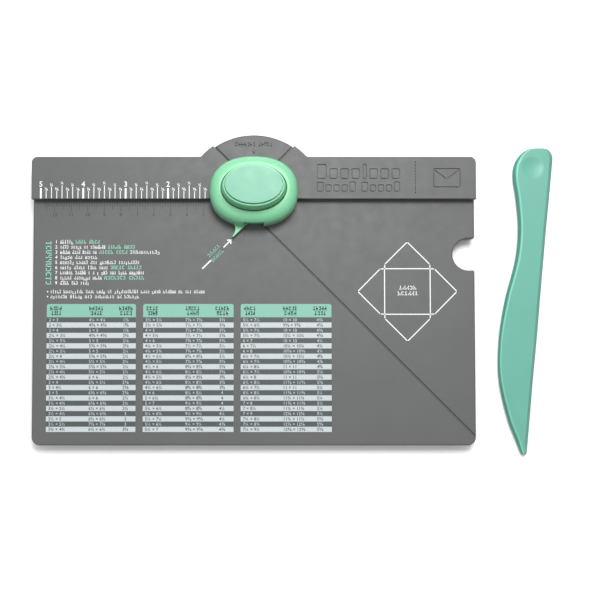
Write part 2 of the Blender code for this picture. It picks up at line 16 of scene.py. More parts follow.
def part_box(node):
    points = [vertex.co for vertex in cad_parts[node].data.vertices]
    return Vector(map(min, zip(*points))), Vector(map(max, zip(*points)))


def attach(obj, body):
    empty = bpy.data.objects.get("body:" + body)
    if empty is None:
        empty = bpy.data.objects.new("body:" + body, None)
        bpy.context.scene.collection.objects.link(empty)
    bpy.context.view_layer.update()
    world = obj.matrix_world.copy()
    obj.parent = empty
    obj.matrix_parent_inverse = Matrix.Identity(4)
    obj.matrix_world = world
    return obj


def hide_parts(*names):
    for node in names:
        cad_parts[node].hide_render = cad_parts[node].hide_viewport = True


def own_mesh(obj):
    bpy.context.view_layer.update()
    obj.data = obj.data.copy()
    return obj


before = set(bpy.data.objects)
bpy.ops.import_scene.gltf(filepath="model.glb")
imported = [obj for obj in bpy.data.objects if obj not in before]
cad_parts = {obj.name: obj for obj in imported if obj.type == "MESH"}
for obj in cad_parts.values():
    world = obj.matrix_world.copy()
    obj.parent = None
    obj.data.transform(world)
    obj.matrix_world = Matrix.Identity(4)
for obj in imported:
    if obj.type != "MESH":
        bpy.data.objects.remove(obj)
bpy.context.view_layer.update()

# The frame in board coordinates

METRES = 0.001
DECK_LOW, DECK_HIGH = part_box("deck")
BOARD_ORIGIN = Vector(((DECK_LOW.x + DECK_HIGH.x) / 2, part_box("fence_left")[0].y, 0))


def board_box(node):
    """A CAD node's lowest and highest corners, in board millimetres."""
    return [(corner - BOARD_ORIGIN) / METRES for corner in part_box(node)]


HALF_WIDTH = board_box("deck")[1].x
FRONT_Y = board_box("deck")[0].y
DECK_BOTTOM = board_box("deck")[0].z
DECK_TOP = board_box("deck")[1].z
FENCE_TOP = board_box("fence_left")[1].z
FENCE_DEPTH = 25.5
DOME_Y = -2.7
DOME_RADIUS = board_box("deck")[1].y - DOME_Y
THUMB_X, THUMB_Y, THUMB_RADIUS = 129.7, -32.9, 9.6
APEX = 9.2  # from the fence's front face forward to the point of the notch
REAR_APEX = 7.6  # and back to the point of the rear V

# Punch: every oval is the button's, grown by an offset
PUNCH_Y = 5.2
BUTTON_A, BUTTON_B = 18.9, 13.2
BUTTON_TOP = board_box("button_inlay")[1].z
CAP_BOTTOM = board_box("button_cap")[0].z
HOUSING_BOTTOM, HOUSING_TOP = (corner.z for corner in board_box("punch_housing"))
HOUSING_WIDTH = 7.55
HOUSING_FORWARD = 1.0  # how far the housing's outer edge is moved forward
HOUSING_SHOULDER = 18.0
PLATE_OFFSET = 2.9
INLAY_OFFSET = -2.15
INLAY_Y = PUNCH_Y + 0.4
RIM_DROP = 0.75  # how far the button's rim lies below the inlay

TOOL_LOW, TOOL_HIGH = board_box("scoring_tool")

INK = 0.03  # how far ink stands above the plastic
DIGIT_HEIGHT = 0.69  # height of Blender's own font's digits, as a share of its size


# Materials


def new_material(name):
    material = bpy.data.materials.new(name)
    material.use_nodes = True
    return material, material.node_tree.nodes, material.node_tree.links


def noise(nodes, links, scale, detail=2.0):
    """A noise texture fixed to the object, and its value output."""
    coordinates = nodes.new("ShaderNodeTexCoord")
    texture = nodes.new("ShaderNodeTexNoise")
    texture.inputs["Scale"].default_value = scale
    texture.inputs["Detail"].default_value = detail
    links.new(coordinates.outputs["Object"], texture.inputs["Vector"])
    return texture.outputs["Fac"]


def ramp(nodes, links, value, stops):
    """A colour ramp on a value, with stops of (position, colour)."""
    node = nodes.new("ShaderNodeValToRGB")
    elements = node.color_ramp.elements
    while len(elements) < len(stops):
        elements.new(0.5)
    for element, (position, colour) in zip(elements, stops):
        element.position = position
        element.color = (*colour, 1.0)
    links.new(value, node.inputs["Fac"])
    return node.outputs["Color"]


def spread(nodes, links, value, low, high):
    """The value spread from low to high, where a noise texture really varies."""
    node = nodes.new("ShaderNodeMapRange")
    node.inputs["From Min"].default_value = 0.3
    node.inputs["From Max"].default_value = 0.7
    node.inputs["To Min"].default_value = low
    node.inputs["To Max"].default_value = high
    links.new(value, node.inputs["Value"])
    return node.outputs["Result"]


def grain(nodes, links, shader, scale, depth):
    """A moulded surface's fine grain, as bump."""
    bump = nodes.new("ShaderNodeBump")
    bump.inputs["Strength"].default_value = 0.6
    bump.inputs["Distance"].default_value = depth
    links.new(noise(nodes, links, scale, 3.0), bump.inputs["Height"])
    links.new(bump.outputs["Normal"], shader.inputs["Normal"])


def shades(colour, amount):
    return [tuple(c * k for c in colour) for k in (1 - amount, 1 + amount)]


def moulded_plastic(name, colour, roughness, grain_scale, grain_depth, variation=0.03, coat=0.0, glow=0.0):
    """Moulded plastic: a slightly cloudy colour, uneven gloss and a fine grain."""
    material, nodes, links = new_material(name)
    shader = nodes["Principled BSDF"]
    low, high = shades(colour, variation)
    cloud = noise(nodes, links, 35, 4.0)
    links.new(ramp(nodes, links, cloud, [(0.3, low), (0.7, high)]), shader.inputs["Base Color"])
    gloss = spread(nodes, links, noise(nodes, links, 160, 3.0), roughness - 0.04, roughness + 0.04)
    links.new(gloss, shader.inputs["Roughness"])
    shader.inputs["Coat Weight"].default_value = coat
    shader.inputs["Coat Roughness"].default_value = 0.32
    if glow:
        shader.inputs["Subsurface Weight"].default_value = glow
        shader.inputs["Subsurface Scale"].default_value = 0.002
        shader.inputs["Subsurface Radius"].default_value = (0.5, 1.0, 0.6)
    grain(nodes, links, shader, grain_scale, grain_depth)
    return material


def printed_ink(name, colour):
    """Screen-printed ink, with the thin spots that it has where the plastic's grain is high."""
    material, nodes, links = new_material(name)
    shader = nodes["Principled BSDF"]
    low, high = shades(colour, 0.05)
    speckle = ramp(nodes, links, noise(nodes, links, 2500), [(0.3, low), (0.6, high)])
    links.new(speckle, shader.inputs["Base Color"])
    shader.inputs["Roughness"].default_value = 0.5
    grain(nodes, links, shader, 2500, 0.00001)
    return material


def brushed_steel(name, colour, roughness):
    """Steel with fine scratches along X."""
    material, nodes, links = new_material(name)
    shader = nodes["Principled BSDF"]
    coordinates = nodes.new("ShaderNodeTexCoord")
    stretch = nodes.new("ShaderNodeMapping")
    stretch.inputs["Scale"].default_value = (60, 3000, 3000)
    texture = nodes.new("ShaderNodeTexNoise")
    texture.inputs["Scale"].default_value = 1.0
    links.new(coordinates.outputs["Object"], stretch.inputs["Vector"])
    links.new(stretch.outputs["Vector"], texture.inputs["Vector"])
    low, high = shades(colour, 0.08)
    streaks = ramp(nodes, links, texture.outputs["Fac"], [(0.3, low), (0.7, high)])
    links.new(streaks, shader.inputs["Base Color"])
    gloss = spread(nodes, links, texture.outputs["Fac"], roughness - 0.08, roughness + 0.08)
    links.new(gloss, shader.inputs["Roughness"])
    shader.inputs["Metallic"].default_value = 1.0
    return material


GREY = moulded_plastic("grey_plastic", (0.092, 0.096, 0.0935), 0.52, 1800, 0.00003, 0.04)
MINT = moulded_plastic("mint_plastic", (0.2, 0.56, 0.315), 0.42, 900, 0.00001, 0.02, 0.3, 0.06)
MINT_LIGHT = moulded_plastic("mint_inlay", (0.18, 0.45, 0.315), 0.46, 1500, 0.00002, 0.02, 0.0, 0.06)
TEAL = moulded_plastic("tool_plastic", (0.115, 0.37, 0.29), 0.4, 900, 0.00001, 0.025, 0.08, 0.05)
# Painted shade on the tool's bevels and a painted highlight on the crease above its left one, as darker and
# lighter copies of its plastic
TEAL_PAINTED_SHADE = moulded_plastic("tool_plastic_painted_shade", (0.07, 0.25, 0.195), 0.4, 900, 0.00001, 0.025, 0.08, 0.03)
TEAL_PAINTED_HIGHLIGHT = moulded_plastic("tool_plastic_painted_highlight", (0.19, 0.58, 0.44), 0.3, 900, 0.00001, 0.025, 0.2, 0.06)
RUBBER = moulded_plastic("foot_rubber", (0.022, 0.022, 0.023), 0.75, 1200, 0.00006, 0.15)
STEEL = brushed_steel("steel", (0.6, 0.61, 0.63), 0.3)
ZINC = brushed_steel("zinc_plated", (0.52, 0.53, 0.55), 0.35)
WHITE_INK = printed_ink("white_ink", (0.78, 0.8, 0.79))
GREEN_INK = printed_ink("green_ink", (0.25, 0.62, 0.45))
MINT_INK = printed_ink("mint_ink", (0.185, 0.425, 0.335))
PALE_INK = printed_ink("pale_ink", (0.47, 0.515, 0.53))
SHADE_INK = printed_ink("shade_ink", (0.055, 0.065, 0.066))
DARK_INK = printed_ink("dark_ink", (0.03, 0.034, 0.033))
DEEP_GREEN_INK = printed_ink("deep_green_ink", (0.03, 0.10, 0.075))


# Outlines, anticlockwise


def arc(x, y, radius, start, end, steps):
    """Points of an arc, its ends included, from one angle to another in degrees."""
    angles = [math.radians(start + (end - start) * i / steps) for i in range(steps + 1)]
    return [(x + radius * math.cos(a), y + radius * math.sin(a)) for a in angles]


def inset(outline, distance):
    """The outline with every side moved inwards."""
    result = []
    for i, (x, y) in enumerate(outline):
        before, after = outline[i - 1], outline[(i + 1) % len(outline)]
        first = Vector((x - before[0], y - before[1])).normalized()
        second = Vector((after[0] - x, after[1] - y)).normalized()
        turn = Vector((-first.y - second.y, first.x + second.x))
        move = turn * (distance / (1 + first.dot(second)))
        result.append((x + move.x, y + move.y))
    return result


def oval(offset, y=PUNCH_Y, steps=128):
    """The button's oval grown by an offset, about a centre at y."""
    turn = [2 * math.pi * i / steps for i in range(steps)]
    a, b = BUTTON_A + offset, BUTTON_B + offset
    return [(a * math.cos(t), y + b * math.sin(t)) for t in turn]


def housing_oval(offset, steps=128):
    """The same oval for the housing, which grows fuller and further forward towards its edge."""
    share = max(0.0, offset) / HOUSING_WIDTH
    power = 2 / (2 + 0.3 * share)
    a, b, y = BUTTON_A + offset, BUTTON_B + offset, PUNCH_Y - HOUSING_FORWARD * share
    points = []
    for i in range(steps):
        c, s = math.cos(2 * math.pi * i / steps), math.sin(2 * math.pi * i / steps)
        points.append((a * math.copysign(abs(c) ** power, c), y + b * math.copysign(abs(s) ** power, s)))
    return points


def rounded_box(x0, x1, y0, y1, radius, steps=5):
    corners = [(x1, y0, -1, 1, 270), (x1, y1, -1, -1, 0), (x0, y1, 1, -1, 90), (x0, y0, 1, 1, 180)]
    points = []
    for x, y, sx, sy, start in corners:
        points += arc(x + sx * radius, y + sy * radius, radius, start, start + 90, steps)
    return points


def dome_fillet():
    """The hollow fillet between the board's back edge and its dome: radius, centre's X, and the
    angle at which it leaves the dome."""
    radius = 2.0
    rise = FENCE_DEPTH - DOME_Y + radius
    x = math.sqrt((DOME_RADIUS + radius) ** 2 - rise**2)
    return radius, x, math.degrees(math.atan2(rise, x))


def board_outline(inwards=0.0):
    """The board in plan, or the line that runs inwards of its edge."""
    side, front, back = HALF_WIDTH - inwards, FRONT_Y + inwards, FENCE_DEPTH - inwards
    corner, back_corner = 5.0 - inwards, 3.5 - inwards
    mouth, thumb = max(1.0 - inwards, 0.01), THUMB_RADIUS + inwards
    fillet, fillet_x, angle = dome_fillet()
    fillet_y, fillet = FENCE_DEPTH + fillet, fillet + inwards
    points = arc(corner - side, front + corner, corner, 180, 270, 12)
    points += arc(side - corner, front + corner, corner, 270, 360, 12)
    points += arc(side - mouth, THUMB_Y - thumb - mouth, mouth, 0, 90, 5)
    points += arc(THUMB_X, THUMB_Y, thumb, 270, 90, 36)
    points += arc(side - mouth, THUMB_Y + thumb + mouth, mouth, 270, 360, 5)
    points += arc(side - back_corner, back - back_corner, back_corner, 0, 90, 10)
    points += arc(fillet_x, fillet_y, fillet, 270, 180 + angle, 6)
    points += arc(0, DOME_Y, DOME_RADIUS - inwards, angle, 180 - angle, 60)[1:-1]
    points += arc(-fillet_x, fillet_y, fillet, 360 - angle, 270, 6)
    points += arc(back_corner - side, back - back_corner, back_corner, 90, 180, 10)
    return points


def fence_outline(side, gap=0.0):
    """Half of the fence, side 1 for the right. gap grows it where the punch meets it."""
    a = BUTTON_A + PLATE_OFFSET + 0.4 - gap
    b = BUTTON_B + PLATE_OFFSET + 0.4 - gap
    v_start = REAR_APEX + gap * math.sqrt(2)  # the V's edge is y = x + v_start
    rise = v_start - PUNCH_Y
    qa, qb, qc = 1 / a**2 + 1 / b**2, 2 * rise / b**2, (rise / b) ** 2 - 1
    v_x = (-qb + math.sqrt(qb**2 - 4 * qa * qc)) / (2 * qa)
    v_angle = math.atan2((v_x + rise) / b, v_x / a)
    eased, eased_from = 0.3, 32  # the front face falls back a little from there to the punch
    front_angle = math.asin((eased - gap - PUNCH_Y) / b)
    k = v_start - DOME_Y
    dome_x = (-k + math.sqrt(2 * DOME_RADIUS**2 - k**2)) / 2
    dome_end = math.degrees(math.acos(dome_x / DOME_RADIUS))
    fillet, fillet_x, angle = dome_fillet()
    back_corner = 3.5
    angles = [v_angle + (front_angle - v_angle) * i / 24 for i in range(25)]
    points = [(HALF_WIDTH, -gap)]
    points += arc(HALF_WIDTH - back_corner, FENCE_DEPTH - back_corner, back_corner, 0, 90, 10)
    points += arc(fillet_x, FENCE_DEPTH + fillet, fillet, 270, 180 + angle, 6)
    points += arc(0, DOME_Y, DOME_RADIUS, angle, dome_end, 14)[1:]
    points += [(a * math.cos(t), PUNCH_Y + b * math.sin(t)) for t in angles]
    points.append((eased_from, -gap))
    if side < 0:
        points = [(-x, y) for x, y in points[::-1]]
    return points


# Meshes


def finish_piece(bm, name, material, body="board", replaced=None, crease=35):
    """A shown piece made from bm, which is in board millimetres and is freed."""
    bmesh.ops.recalc_face_normals(bm, faces=bm.faces)
    mesh = bpy.data.meshes.new(name)
    bm.to_mesh(mesh)
    bm.free()
    mesh.transform(Matrix.Translation(BOARD_ORIGIN) @ Matrix.Scale(METRES, 4))
    mesh.materials.append(material)
    mesh.shade_smooth()
    mesh.set_sharp_from_angle(angle=math.radians(crease))
    obj = bpy.data.objects.new(name, mesh)
    bpy.context.scene.collection.objects.link(obj)
    weighted = obj.modifiers.new("even_shading", "WEIGHTED_NORMAL")
    weighted.keep_sharp = True
    if replaced:
        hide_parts(replaced)
    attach(obj, body)
    return obj


def loft(bm, rings, ends=True):
    """Faces through rings of equally many points, with a flat face at each end."""
    rows = [[bm.verts.new(p) for p in ring] for ring in rings]
    for low, high in zip(rows, rows[1:]):
        for i in range(len(low)):
            j = (i + 1) % len(low)
            bm.faces.new((low[i], low[j], high[j], high[i]))
    if ends:
        bm.faces.new(rows[0][::-1])
        bm.faces.new(rows[-1])
    return rows


def loft_ring(bm, rings):
    """Faces through rings and from the last back to the first, which makes a tube."""
    rows = loft(bm, rings, ends=False)
    first, last = rows[0], rows[-1]
    for i in range(len(first)):
        j = (i + 1) % len(first)
        bm.faces.new((last[i], last[j], first[j], first[i]))


def at(outline, z):
    return [(x, y, z) for x, y in outline]


def prism(bm, outline, bottom, top):
    loft(bm, [at(outline, bottom), at(outline, top)])


def edge_curve(radius, steps=5):
    """A rounded edge as (inset, drop) pairs, from the side to the top."""
    angles = [math.radians(90 * i / steps) for i in range(steps + 1)]
    return [(radius * (1 - math.cos(a)), radius * (1 - math.sin(a))) for a in angles]


def boolean(bm, cutter, operation="DIFFERENCE"):
    """bm with the cutter taken away or joined, as a new bmesh. Both are freed."""
    objects = []
    for part in (bm, cutter):
        bmesh.ops.recalc_face_normals(part, faces=part.faces)
        mesh = bpy.data.meshes.new("part")
        part.to_mesh(mesh)
        part.free()
        objects.append(bpy.data.objects.new("part", mesh))
        bpy.context.scene.collection.objects.link(objects[-1])
    modifier = objects[0].modifiers.new("cut", "BOOLEAN")
    modifier.operation = operation
    modifier.solver = "EXACT"
    modifier.object = objects[1]
    bpy.context.view_layer.update()
    evaluated = objects[0].evaluated_get(bpy.context.evaluated_depsgraph_get())
    result = bmesh.new()
    result.from_mesh(evaluated.to_mesh())
    for obj in objects:
        bpy.data.objects.remove(obj, do_unlink=True)
    return result


# Deck and fence


def deck_tray():
    """The deck's walls and plate, like a tray upside down, with rounded outer edges."""
    wall, plate, edge = 2.2, 2.5, 1.0
    profile = [(wall, DECK_TOP - plate), (wall, DECK_BOTTOM + 0.3), (wall - 0.3, DECK_BOTTOM)]
    profile += [(0.5, DECK_BOTTOM), (0.0, DECK_BOTTOM + 0.5)]
    profile += [(inwards, DECK_TOP - drop) for inwards, drop in edge_curve(edge)]
    bm = bmesh.new()
    loft(bm, [at(board_outline(inwards), z) for inwards, z in profile])
    return bm


def channel(section, ends):
    """A cutter with a section of (across, height) run from one end to the other at 45 degrees."""
    direction = (Vector(ends[1]) - Vector(ends[0])).normalized()
    across = Vector((-direction.y, direction.x))
    bm = bmesh.new()
    loft(bm, [[(x + across.x * s, y + across.y * s, DECK_TOP + z) for s, z in section] for x, y in ends])
    return bm


def groove_cutter():
    """The score groove: a rounded channel with eased lips."""
    half = [(-0.9, 0.5), (-0.78, 0.06), (-0.62, -0.04), (-0.52, -0.2), (-0.44, -0.6), (-0.2, -0.85)]
    section = half + [(-x, z) for x, z in half[::-1]]
    return channel(section, [(5.0, -APEX - 5.0), (HALF_WIDTH + 4, -APEX - HALF_WIDTH - 4)])


def corner_channel(side):
    """The slit along one edge of the rear V, which lets a sheet's corner slide under the fence."""
    near, far, depth = 0.1, 1.55, 1.4
    section = [(near, 0.5), (near, -depth), (far, -depth), (far, 0.5)]
    if side < 0:
        section = [(-s, z) for s, z in section]
    ends = [(side * 8, REAR_APEX + 8), (side * 40, REAR_APEX + 40)]
    return channel(section, ends)


def deck():
    bm = deck_tray()
    opening = bmesh.new()
    prism(opening, oval(PLATE_OFFSET + 0.3), 0, DECK_TOP + 1)
    for cutter in (opening, groove_cutter(), corner_channel(-1), corner_channel(1)):
        bm = boolean(bm, cutter)
    return finish_piece(bm, "deck_shell", GREY, replaced="deck")


def fence(name, side):
    """Half of the fence, undercut at its foot so that a sheet's edge slides under it."""
    bm = bmesh.new()
    bottom = DECK_TOP + 0.05
    outline = fence_outline(side)
    profile = [(0.9, bottom), (0.9, bottom + 0.9), (0.1, bottom + 1.0), (0.0, bottom + 1.15)]
    profile += [(inwards, FENCE_TOP - drop) for inwards, drop in edge_curve(0.55)]
    loft(bm, [at(inset(outline, inwards), z) for inwards, z in profile])
    if side > 0:
        bm = boolean(bm, engravings())
    return finish_piece(bm, name + "_shell", GREY, replaced=name)


def ring_cutter(bm, outline, width):
    """A channel that follows an outline."""
    depth = 0.8
    low, high = FENCE_TOP - depth, FENCE_TOP + 0.5
    inner = inset(outline, width)
    loft_ring(bm, [at(outline, low), at(outline, high), at(inner, high), at(inner, low)])


def engravings():
    """What is sunk into the fence's right half: two rows of blank shapes in the place of a title,
    a dotted line and an envelope."""
    bm = bmesh.new()
    above = [(6.0, 9.0)] + [(5.2, 6.4)] * 3 + [(2.6, 9.2)] + [(5.2, 6.4)] * 3
    below = [(4.2, 6.0)] + [(3.9, 4.4)] * 3 + [(3.9, 6.2), (1.4, 0)]
    below += [(4.2, 6.0)] + [(3.9, 4.4)] * 3 + [(3.9, 6.2)]
    for y, width, shapes in ((12.0, 50.0, above), (4.3, 50.0, below)):
        space = (width - sum(wide for wide, high in shapes)) / (len(shapes) - 1)
        x = 37.7
        for wide, high in shapes:
            if high:
                ring_cutter(bm, rounded_box(x, x + wide, y, y + high, 1.1), 0.6)
            x += wide + space
    for k in range(11):
        prism(bm, arc(96.9, 4.0 + 1.82 * k, 0.36, 0, 337.5, 15), FENCE_TOP - 1.6, FENCE_TOP + 0.5)
    x, y, half_x, half_y = 115.7, 12.7, 8.2, 5.8
    ring_cutter(bm, rounded_box(x - half_x, x + half_x, y - half_y, y + half_y, 1.0), 0.6)
    for side in (-1, 1):
        start, end = Vector((x + side * 7.2, y + 4.6)), Vector((x + side * 0.45, y - 0.4))
        across = (end - start).normalized().orthogonal() * 0.3
        corners = [start - across, end - across, end + across, start + across]
        prism(bm, corners, FENCE_TOP - 0.8, FENCE_TOP + 0.5)
    return bm


# Punch


def pointer():
    """The score pointer: a small blade, straight on the right and hollowed on the left."""
    tip = [(-12.95, -22.1), (-12.9, -22.55), (-12.5, -22.75), (-12.1, -22.6)]
    root = [(-2.6, -13.5), (-2.6, -12.3), (-12.4, -11.9)]
    hollow = [(-12.65, -13.6), (-12.1, -14.5), (-11.5, -15.8), (-11.15, -17.3), (-11.2, -18.6)]
    hollow += [(-11.6, -19.9), (-12.35, -21.3)]
    outline = tip[1:] + root + hollow + tip[:1]
    top, edge = HOUSING_BOTTOM + 2.8, 0.35
    profile = [(0.0, HOUSING_BOTTOM)]
    profile += [(inwards, top - drop) for inwards, drop in edge_curve(edge, 3)]
    bm = bmesh.new()
    loft(bm, [at(inset(outline, inwards), z) for inwards, z in profile])
    return bm


def housing():
    """The oval ring around the button, cut out over the fence, with a flat window in front."""
    power = 2 / 2.3  # how full the ring's outside is: 1 is a quarter ellipse
    inner = 0.6
    lip = inner + 0.3
    wall_inside = 4.8
    window_left, window_right, window_back, window_top = -6.0, 5.9, -14.6, 24.0
    clearance = 0.2
    width, height = HOUSING_WIDTH - lip, HOUSING_TOP - HOUSING_SHOULDER
    profile = [(HOUSING_WIDTH - 0.3, HOUSING_BOTTOM), (HOUSING_WIDTH, HOUSING_BOTTOM + 0.3)]
    for i in range(25):
        t = math.radians(90 - 90 * i / 24)
        x = lip + width * max(math.sin(t), 0) ** power
        profile.append((x, HOUSING_SHOULDER + height * max(math.cos(t), 0) ** power))
    profile += [(inner + 0.08, HOUSING_TOP - 0.1), (inner, HOUSING_TOP - 0.35)]
    profile += [(inner, 25.1), (2.2, 25.0), (4.2, 22.0)]
    profile += [(wall_inside, HOUSING_SHOULDER), (wall_inside, HOUSING_BOTTOM)]
    bm = bmesh.new()
    loft_ring(bm, [at(housing_oval(offset), z) for offset, z in profile])
    for side in (-1, 1):
        above_fence = bmesh.new()
        prism(above_fence, fence_outline(side, clearance), 0, FENCE_TOP + clearance)
        bm = boolean(bm, above_fence)
    window = bmesh.new()
    prism(window, rounded_box(window_left, window_right, -40, window_back, 0.25, 2), 0, window_top)
    bm = boolean(bm, window)
    bm = boolean(bm, pointer(), "UNION")
    return finish_piece(bm, "housing_ring", MINT, replaced="punch_housing")


def button():
    """The deep oval cap: a steep side, a rounded shoulder and a rim a little below the inlay."""
    rim_top = BUTTON_TOP - RIM_DROP
    lean, shoulder = 0.85, 0.65
    profile = [(-1.8, CAP_BOTTOM), (0.8, CAP_BOTTOM), (1.0, CAP_BOTTOM + 0.2), (1.0, CAP_BOTTOM + 1.6)]
    profile += [(0.8, CAP_BOTTOM + 1.8), (0.3, CAP_BOTTOM + 2.0), (0.3, HOUSING_TOP - 0.5)]
    for i in range(13):
        t = math.radians(90 * i / 12)
        offset = -lean - shoulder * (1 - math.cos(t))
        profile.append((offset, rim_top - shoulder * (1 - math.sin(t))))
    profile += [(-1.7, rim_top), (-1.8, rim_top - 0.1)]
    sides = [at(oval(offset), z) for offset, z in profile]
    recess = [at(oval(-1.82, INLAY_Y - 0.1), rim_top - 1.3), at(oval(-3.0, INLAY_Y), rim_top - 1.35)]
    bm = bmesh.new()
    inside = [(-3.2, BUTTON_TOP - 4.0), (-1.8, BUTTON_TOP - 5.5), (-1.8, CAP_BOTTOM + 0.1)]
    loft(bm, [at(oval(offset), z) for offset, z in inside] + sides + recess)
    return finish_piece(bm, "button_shell", MINT, "punch_button", "button_cap")


def inlay():
    """The disc in the button's top: rounded at its edge and very slightly domed."""
    edge, crown, round_edge = INLAY_OFFSET, 0.15, 0.22
    high = BUTTON_TOP - crown
    profile = [(edge, BUTTON_TOP - RIM_DROP - 1.3), (edge, high - round_edge)]
    for degrees in (30, 60, 90):
        t = math.radians(degrees)
        profile.append((edge - round_edge * (1 - math.cos(t)), high - round_edge * (1 - math.sin(t))))
    rings = [at(oval(offset, INLAY_Y), z) for offset, z in profile]
    for i in range(1, 9):
        share = 1 - i / 8.5
        z = BUTTON_TOP - crown * share**2
        outline = oval(edge - round_edge, INLAY_Y)
        rings.append([(x * share, INLAY_Y + (y - INLAY_Y) * share, z) for x, y in outline])
    bm = bmesh.new()
    loft(bm, rings)
    return finish_piece(bm, "inlay_disc", MINT_LIGHT, "punch_button", "button_inlay")


# Scoring tool

# Distance from the tip, left edge's X and right edge's X, without the rounded ends
TOOL_EDGES = [
    (0.0, 162.6, 165.8),
    (9.4, 159.0, 166.7),
    (21.5, 154.4, 167.9),
    (45.8, 149.2, 170.2),
    (70.2, 149.4, 172.8),
    (94.6, 153.4, 175.1),
    (119.2, 159.9, 177.5),
    (137.7, 161.9, 179.3),
    (156.2, 160.8, 181.3),
    (170.0, 159.0, 182.7),
    (188.6, 159.4, 184.6),
]
TOOL_LENGTH = 188.6
TOOL_NOSE = 2.2  # length of the rounded tip
TOOL_APEX_X = 175.8  # where the head's end is furthest back
TOOL_HEAD_LEFT, TOOL_HEAD_RIGHT = 18.0, 9.0  # lengths over which the head's sides round off


def along(stations, distance, column):
    """A smooth curve through one column of the stations."""
    last = len(stations) - 2
    i = max(k for k in range(last + 1) if k == 0 or stations[k][0] <= distance)
    before, after = stations[max(i - 1, 0)], stations[min(i + 2, last + 1)]
    low, high = stations[i], stations[i + 1]
    span = high[0] - low[0]
    t = (distance - low[0]) / span
    start = (high[column] - before[column]) / (high[0] - before[0]) * span
    end = (after[column] - low[column]) / (after[0] - low[0]) * span
    return (
        (2 * t**3 - 3 * t**2 + 1) * low[column]
        + (t**3 - 2 * t**2 + t) * start
        + (3 * t**2 - 2 * t**3) * high[column]
        + (t**3 - t**2) * end
    )


def tool_edges(distance):
    """The left and right edges' X at a distance from the tip."""
    left, right = along(TOOL_EDGES, distance, 1), along(TOOL_EDGES, distance, 2)
    past_nose = max(0.0, TOOL_NOSE - distance) / TOOL_NOSE
    middle, nose = (left + right) / 2, math.sqrt(max(0.0, 1 - past_nose**2))
    edges = []
    for x, head in ((left, TOOL_HEAD_LEFT), (right, TOOL_HEAD_RIGHT)):
        past_head = max(0.0, distance - (TOOL_LENGTH - head)) / head
        if past_head > 0:
            x = TOOL_APEX_X + (x - TOOL_APEX_X) * max(0.0, 1 - past_head**2.4) ** (1 / 2.2)
        edges.append(middle + (x - middle) * nose)
    return edges


def tool_section(width, left_bevel, right_bevel):
    """Heights across the tool as (distance from its left edge, share of the full height): a wide
    slope on the left, a narrow one on the right and soft creases."""
    crease = min(0.22, 0.1 * width)
    section = [(0, 0), (0.3 * left_bevel, 0.3), (0.65 * left_bevel, 0.66)]
    section += [(left_bevel - crease, 0.93), (left_bevel, 0.985), (left_bevel + crease, 1)]
    start, end = left_bevel + crease, width - right_bevel - crease
    section += [(start + (end - start) * k / 30, 1) for k in range(1, 30)]
    section += [(end, 1), (end + crease, 0.98), (end + 2 * crease, 0.88)]
    section += [(width - 0.6 * right_bevel, 0.52), (width - 0.3 * right_bevel, 0.2), (width, 0)]
    return section


def scoring_tool():
    """A curved bone folder: flat faces, bevelled edges and a thumb dish near its head, with painted shade
    on its bevels and a painted highlight along its left crease.
    """
    tip_y = TOOL_LOW.y - 0.004 * TOOL_LENGTH
    thickness = TOOL_HIGH.z
    dish_x, dish_y, dish_radius, dish_depth = 170.9, 21.0, 6.8, 0.65
    rim = 0.25  # half of the thickness that the edges keep
    belly_y, belly_length = 60, 26  # where the left bevel is narrowest
    stations = 240
    rings = []
    for i in range(stations + 1):
        share = i / stations
        distance = TOOL_LENGTH * (0.004 + 0.992 * (share + 0.5 * (1 - math.cos(math.pi * share))) / 2)
        x0, x1 = tool_edges(distance)
        x0 += min(0.35, 0.1 * (x1 - x0))
        width, y = x1 - x0, tip_y + distance
        end_share = min(1.0, (distance - 0.002 * TOOL_LENGTH) / 2.0, (0.998 * TOOL_LENGTH - distance) / 3.0)
        full = (thickness / 2 - rim) * math.sin(math.pi / 2 * max(0.0, end_share) ** 0.5)
        belly = math.exp(-(((distance - belly_y) / belly_length) ** 2))
        left_bevel = min(2.1 - 0.9 * belly, 0.3 * width)
        top, bottom = [], []
        for across, height in tool_section(width, left_bevel, min(2.0, 0.3 * width)):
            x, rise = x0 + across, rim + full * height
            dish = max(0.0, 1 - ((x - dish_x) ** 2 + (y - dish_y) ** 2) / dish_radius**2)
            top.append((x, y, thickness / 2 + rise - dish_depth * dish**1.1))
            bottom.append((x, y, thickness / 2 - rise))
        rings.append(bottom + top[::-1])
    bm = bmesh.new()
    loft(bm, rings)
    piece = finish_piece(bm, "tool_body", TEAL, "scoring_tool", "scoring_tool", crease=50)
    for material in (TEAL_PAINTED_SHADE, TEAL_PAINTED_HIGHLIGHT):
        piece.data.materials.append(material)
    around = len(rings[0])
    right_edge, right_slope, left_slope, left_crease = around // 2, 5, 3, 3  # faces around the tool
    # The bevels' faces take the painted shade and the left crease's faces the painted highlight
    for i, face in enumerate(piece.data.polygons[: stations * around]):
        place = i % around
        if right_edge <= place < right_edge + right_slope or place >= around - left_slope:
            face.material_index = 1
        elif place >= around - left_slope - left_crease:
            face.material_index = 2


# Prints


